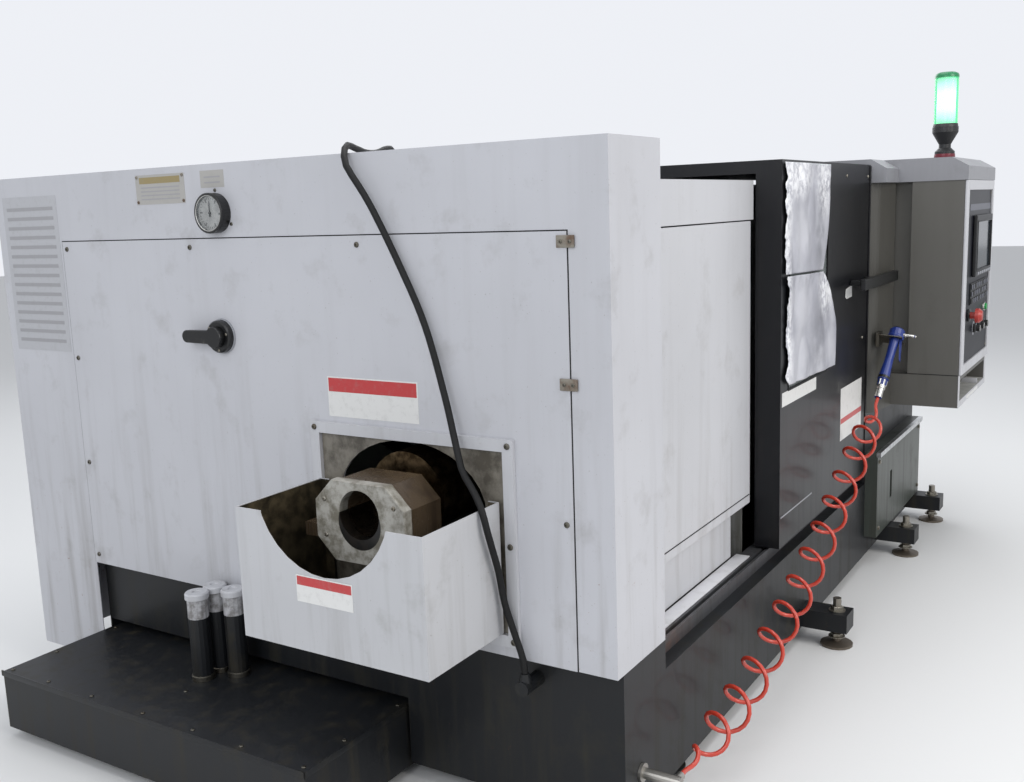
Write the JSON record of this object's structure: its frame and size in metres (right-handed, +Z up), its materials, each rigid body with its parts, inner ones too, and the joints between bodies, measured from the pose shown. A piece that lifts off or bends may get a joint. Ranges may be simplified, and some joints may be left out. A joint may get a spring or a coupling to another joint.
{
  "type": "cnc turning lathe",
  "caption": "CNC turning lathe: slant bed with chuck, tool disc and tailstock behind a sliding door, standing control cabinet, spindle opening with chip guard, and a slide-out coolant tank",
  "frame": {"origin": "on the floor, under the middle of the machine's outer box without its hose and cable", "axes": "X along the spindle from the left end cover to the right end, Y from the operator's side to the rear, Z up"},
  "size_m": [3.57, 2.6176, 2.0306],
  "materials": {
    "light_panel": "light grey sheet enamel, satin, lightly soiled",
    "grey_panel": "dark warm grey enamel, satin",
    "black_panel": "black enamel, satin",
    "base_black": "black enamel, oily",
    "cast_green": "painted casting",
    "bright_steel": "ground and turned steel",
    "dark_steel": "oiled dark steel",
    "black_plastic": "black moulded plastic",
    "clear_glass": "clear laminated pane",
    "film": "loose protective film",
    "green_lens": "translucent green lens",
    "red_plastic": "red moulded plastic",
    "green_plastic": "green moulded plastic",
    "blue_plastic": "blue moulded plastic",
    "red_hose": "orange red coiled tube",
    "rubber": "black rubber"
  },
  "bodies": {
    "machine": {"base_casting": "base_black", "slant_bed": "cast_green", "headstock": "cast_green", "coolant_collector": "light_panel", "spindle_motor": "cast_green", "drive_belt": "rubber", "end_cover": "light_panel", "access_panel": "light_panel", "opening_frame": "light_panel", "chip_guard": "light_panel", "gauge_case": "bright_steel", "switch_rose": "black_plastic", "front_upper_panel": "light_panel", "front_main_panel": "light_panel", "front_lower_panel": "light_panel", "door_track": "bright_steel", "work_lining": "light_panel", "right_front_panel": "grey_panel", "roof_cover": "light_panel", "right_end_cover": "light_panel", "rear_cover": "light_panel", "electrical_cabinet": "light_panel", "control_cabinet": "grey_panel", "control_bezel": "light_panel", "control_face": "black_panel", "control_screen": "grey_panel", "key_plate": "black_plastic", "cabinet_cap": "grey_panel", "signal_stem": "black_plastic", "signal_lamp": "green_lens", "base_front_cover": "base_black", "gun_holder": "dark_steel", "air_gun": "blue_plastic", "air_hose": "red_hose", "power_cable": "rubber"},
    "spindle_line": {"spindle": "bright_steel", "chuck_body": "bright_steel"},
    "jaw_one": {"chuck_jaw_1": "bright_steel"},
    "jaw_two": {"chuck_jaw_2": "bright_steel"},
    "jaw_three": {"chuck_jaw_3": "bright_steel"},
    "motor_rotor": {"motor_pulley": "bright_steel"},
    "carriage": {"saddle": "dark_steel"},
    "cross": {"cross_slide": "cast_green"},
    "tool_disc": {"turret_disc": "bright_steel"},
    "tailstock_body": {"tailstock": "cast_green"},
    "quill": {"tailstock_quill": "bright_steel"},
    "door": {"door_frame": "black_panel", "door_window": "clear_glass", "window_film": "film", "door_handle": "black_plastic"},
    "cabinet_door": {"electrical_door": "light_panel"},
    "tank": {"coolant_tank": "base_black"},
    "isolator": {"switch_lever": "black_plastic"},
    "pointer": {"gauge_pointer": "black_plastic"},
    "knob_one": {"override_knob_1": "black_plastic"},
    "knob_two": {"override_knob_2": "black_plastic"},
    "knob_three": {"override_knob_3": "black_plastic"},
    "stop": {"emergency_stop": "red_plastic"},
    "start": {"start_button": "green_plastic"},
    "trigger": {"gun_trigger": "blue_plastic"}
  },
  "joints": [
    {"name": "door_slide", "type": "slide", "parent": "machine", "child": "door", "axis": [-1, 0, 0], "range_m": [0, 0.88]},
    {"name": "spindle_spin", "type": "hinge", "parent": "machine", "child": "spindle_line", "pos_m": [0, -0.3412, 0.82], "axis": [1, 0, 0], "continuous": true},
    {"name": "motor_spin", "type": "hinge", "parent": "machine", "child": "motor_rotor", "pos_m": [-1.03, 0.2838, 1.05844], "axis": [1, 0, 0], "continuous": true},
    {"name": "jaw_one_slide", "type": "slide", "parent": "spindle_line", "child": "jaw_one", "axis": [0, 0, 1], "range_m": [-0.01, 0.006]},
    {"name": "jaw_two_slide", "type": "slide", "parent": "spindle_line", "child": "jaw_two", "axis": [0, -0.866, -0.5], "range_m": [-0.01, 0.006]},
    {"name": "jaw_three_slide", "type": "slide", "parent": "spindle_line", "child": "jaw_three", "axis": [0, 0.866, -0.5], "range_m": [-0.01, 0.006]},
    {"name": "carriage_slide", "type": "slide", "parent": "machine", "child": "carriage", "axis": [1, 0, 0], "range_m": [-0.08, 0.05]},
    {"name": "cross_feed", "type": "slide", "parent": "carriage", "child": "cross", "axis": [0, -0.7071, -0.7071], "range_m": [0, 0.2]},
    {"name": "disc_index", "type": "hinge", "parent": "cross", "child": "tool_disc", "pos_m": [0.2298, -0.04421, 1.11698], "axis": [1, 0, 0], "continuous": true},
    {"name": "tailstock_slide", "type": "slide", "parent": "machine", "child": "tailstock_body", "axis": [1, 0, 0], "range_m": [-0.05, 0]},
    {"name": "quill_slide", "type": "slide", "parent": "tailstock_body", "child": "quill", "axis": [-1, 0, 0], "range_m": [0, 0.08]},
    {"name": "cabinet_door_hinge", "type": "hinge", "parent": "machine", "child": "cabinet_door", "pos_m": [1.7817, 1.3048, 1.1], "axis": [0, 0, -1], "range_deg": [0, 110]},
    {"name": "tank_slide", "type": "slide", "parent": "machine", "child": "tank", "axis": [-1, 0, 0], "range_m": [0, 0.6]},
    {"name": "isolator_turn", "type": "hinge", "parent": "machine", "child": "isolator", "pos_m": [-1.4399, 0.2938, 1.212], "axis": [1, 0, 0], "range_deg": [0, 90]},
    {"name": "pointer_turn", "type": "hinge", "parent": "machine", "child": "pointer", "pos_m": [-1.44, 0.2818, 1.555], "axis": [-1, 0, 0], "range_deg": [-130, 130]},
    {"name": "knob_one_turn", "type": "hinge", "parent": "machine", "child": "knob_one", "pos_m": [1.3734, -1.2528, 0.965], "axis": [0, 1, 0], "range_deg": [-140, 140]},
    {"name": "knob_two_turn", "type": "hinge", "parent": "machine", "child": "knob_two", "pos_m": [1.48, -1.2528, 0.965], "axis": [0, 1, 0], "range_deg": [-140, 140]},
    {"name": "knob_three_turn", "type": "hinge", "parent": "machine", "child": "knob_three", "pos_m": [1.5866, -1.2528, 0.965], "axis": [0, 1, 0], "range_deg": [-140, 140]},
    {"name": "stop_press", "type": "slide", "parent": "machine", "child": "stop", "axis": [0, 1, 0], "range_m": [0, 0.006], "stiffness_N_per_m": 1500},
    {"name": "start_press", "type": "slide", "parent": "machine", "child": "start", "axis": [0, 1, 0], "range_m": [0, 0.004], "stiffness_N_per_m": 600},
    {"name": "trigger_pull", "type": "hinge", "parent": "machine", "child": "trigger", "pos_m": [0.9033, -1.0535, 0.9557], "axis": [0.8141, 0, -0.5807], "range_deg": [0, 9], "stiffness_Nm_per_rad": 0.6}
  ],
  "couplings": [
    {"joint": "motor_spin", "follows": "spindle_spin", "ratio": 1.5333},
    {"joint": "jaw_two_slide", "follows": "jaw_one_slide", "ratio": 1},
    {"joint": "jaw_three_slide", "follows": "jaw_one_slide", "ratio": 1}
  ]
}
